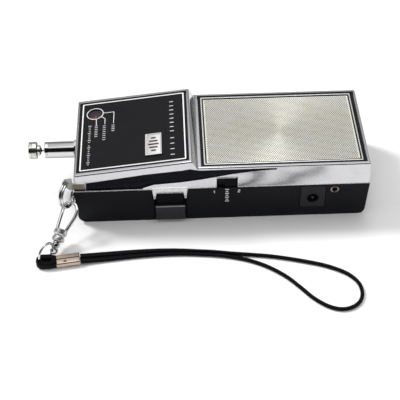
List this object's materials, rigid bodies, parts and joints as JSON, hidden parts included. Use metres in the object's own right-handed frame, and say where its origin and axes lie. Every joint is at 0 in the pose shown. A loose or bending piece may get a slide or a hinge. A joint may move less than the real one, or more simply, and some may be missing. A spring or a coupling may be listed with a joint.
{
  "type": "toy walkie talkie",
  "caption": "Toy walkie talkie in a chrome and black case, with a perforated speaker grille, telescopic aerial, push-to-talk button and a corded wrist strap on a snap hook.",
  "frame": {"origin": "centre of the flat back, on the surface the set lies on", "axes": "+X runs along the case from the aerial end to the speaker end, -Y is the push-to-talk side, +Z comes out of the front face"},
  "size_m": [0.1919, 0.1394, 0.0437],
  "materials": {
    "chrome_shell": "bright chrome plating on plastic",
    "aerial_chrome": "bright chrome tube",
    "fittings": "bright plated wire and turned metal",
    "black_housing": "finely textured black moulding",
    "black_lacquer": "satin black paint",
    "dark_plastic": "dark grey moulding",
    "grille_metal": "perforated spun metal",
    "badge_metal": "brushed silver",
    "clear_lens": "clear window",
    "red_vane": "red paint",
    "steel": "plain steel",
    "copper_eyelet": "copper-coloured metal",
    "board": "brown laminate",
    "cans": "dull silver cans",
    "ferrite": "dark iron",
    "paper": "dark paper",
    "battery_jacket": "printed jacket",
    "black_vinyl": "smooth black vinyl",
    "warm_nickel": "worn nickel plate"
  },
  "bodies": {
    "case": {"front_shell": "chrome_shell", "aerial_base": "aerial_chrome", "rear_housing": "black_housing", "aerial_bushing": "black_housing", "control_faceplate": "black_lacquer", "side_inlay_near": "black_lacquer", "side_inlay_far": "black_lacquer", "grille_frame": "black_lacquer", "channel_switch": "dark_plastic", "dc_jack": "dark_plastic", "ptt_switch": "dark_plastic", "meter_cup": "dark_plastic", "battery_snap": "dark_plastic", "speaker_grille": "grille_metal", "faceplate_badge": "badge_metal", "indicator_lens": "clear_lens", "case_screw_1": "steel", "case_screw_2": "steel", "ptt_spring": "steel", "volume_pot": "steel", "speaker_basket": "steel", "dc_jack_pin": "steel", "earphone_jack": "copper_eyelet", "loading_coil": "copper_eyelet", "circuit_board": "board", "tuning_can_1": "cans", "tuning_can_2": "cans", "tuning_can_3": "cans", "channel_crystal_1": "cans", "channel_crystal_2": "cans", "channel_crystal_3": "cans", "channel_crystal_4": "cans", "output_transformer": "ferrite", "driver_transformer": "ferrite", "speaker_magnet": "ferrite", "speaker_cone": "paper", "battery": "battery_jacket", "capacitor_1": "battery_jacket", "capacitor_2": "battery_jacket", "strap_bracket": "warm_nickel"},
    "aerial_1": {"aerial_section_1": "aerial_chrome"},
    "aerial_2": {"aerial_section_2": "aerial_chrome"},
    "aerial_3": {"aerial_section_3": "aerial_chrome"},
    "aerial_4": {"aerial_section_4": "aerial_chrome"},
    "aerial_5": {"aerial_rod": "aerial_chrome", "aerial_tip": "aerial_chrome"},
    "talk_button": {"ptt_button": "dark_plastic"},
    "channel": {"channel_knob": "dark_plastic"},
    "volume": {"volume_wheel": "dark_plastic"},
    "vane": {"meter_vane": "red_vane"},
    "door": {"battery_door": "black_housing"},
    "ring": {"split_ring": "fittings"},
    "hook": {"hook_wire": "fittings", "hook_collar": "fittings"},
    "gate": {"hook_gate": "fittings"},
    "swivel": {"swivel": "fittings"},
    "bail": {"strap_bail": "fittings"},
    "strap": {"strap_fold": "black_vinyl", "strap_crimp": "warm_nickel", "wrist_cord": "black_vinyl"}
  },
  "joints": [
    {"name": "aerial_slide_1", "type": "slide", "parent": "case", "child": "aerial_1", "axis": [-1, 0, 0], "range_m": [0, 0.088]},
    {"name": "aerial_slide_2", "type": "slide", "parent": "aerial_1", "child": "aerial_2", "axis": [-1, 0, 0], "range_m": [0, 0.088]},
    {"name": "aerial_slide_3", "type": "slide", "parent": "aerial_2", "child": "aerial_3", "axis": [-1, 0, 0], "range_m": [0, 0.088]},
    {"name": "aerial_slide_4", "type": "slide", "parent": "aerial_3", "child": "aerial_4", "axis": [-1, 0, 0], "range_m": [0, 0.088]},
    {"name": "aerial_slide_5", "type": "slide", "parent": "aerial_4", "child": "aerial_5", "axis": [-1, 0, 0], "range_m": [0, 0.088]},
    {"name": "talk_press", "type": "slide", "parent": "case", "child": "talk_button", "axis": [0, 1, 0], "range_m": [0, 0.0018], "stiffness_N_per_m": 400, "springref_m": -0.002, "deforming": ["ptt_spring"]},
    {"name": "channel_slide", "type": "slide", "parent": "case", "child": "channel", "axis": [-1, 0, 0], "range_m": [0, 0.0042]},
    {"name": "volume_turn", "type": "hinge", "parent": "case", "child": "volume", "pos_m": [-0.045, 0.025, 0.0199], "axis": [0, 0, 1], "range_deg": [-150, 150]},
    {"name": "meter_swing", "type": "hinge", "parent": "case", "child": "vane", "pos_m": [-0.07049, 0.019, 0.0313], "axis": [-0.119, 0, 0.9929], "range_deg": [-25, 25], "stiffness_Nm_per_rad": 0.00002},
    {"name": "door_slide", "type": "slide", "parent": "case", "child": "door", "axis": [1, 0, 0], "range_m": [0, 0.055]},
    {"name": "ring_turn", "type": "hinge", "parent": "case", "child": "ring", "pos_m": [-0.0862, -0.03388, 0.02364], "axis": [-0.9132, 0.3876, -0.1259], "range_deg": [0, 70]},
    {"name": "hook_swing", "type": "hinge", "parent": "ring", "child": "hook", "pos_m": [-0.0862, -0.03601, 0.01707], "axis": [-0.4076, -0.8685, 0.2822], "range_deg": [0, 25]},
    {"name": "gate_press", "type": "hinge", "parent": "hook", "child": "gate", "pos_m": [-0.09202, -0.04605, 0.01079], "axis": [-0.2283, -0.4954, 0.8381], "range_deg": [-16, 0], "stiffness_Nm_per_rad": 0.002, "springref_deg": 11.46},
    {"name": "swivel_spin", "type": "hinge", "parent": "hook", "child": "swivel", "pos_m": [-0.09112, -0.05052, 0.00839], "axis": [-0.3508, -0.7612, -0.5455], "range_deg": [0, 90]},
    {"name": "bail_swing", "type": "hinge", "parent": "swivel", "child": "bail", "pos_m": [-0.0979, -0.0604, 0.00625], "axis": [0.7828, -0.6222, 0], "range_deg": [0, 18]},
    {"name": "strap_swing", "type": "hinge", "parent": "bail", "child": "strap", "pos_m": [-0.1005, -0.0637, 0.00285], "axis": [0, 0, 1], "range_deg": [-60, 0]}
  ]
}
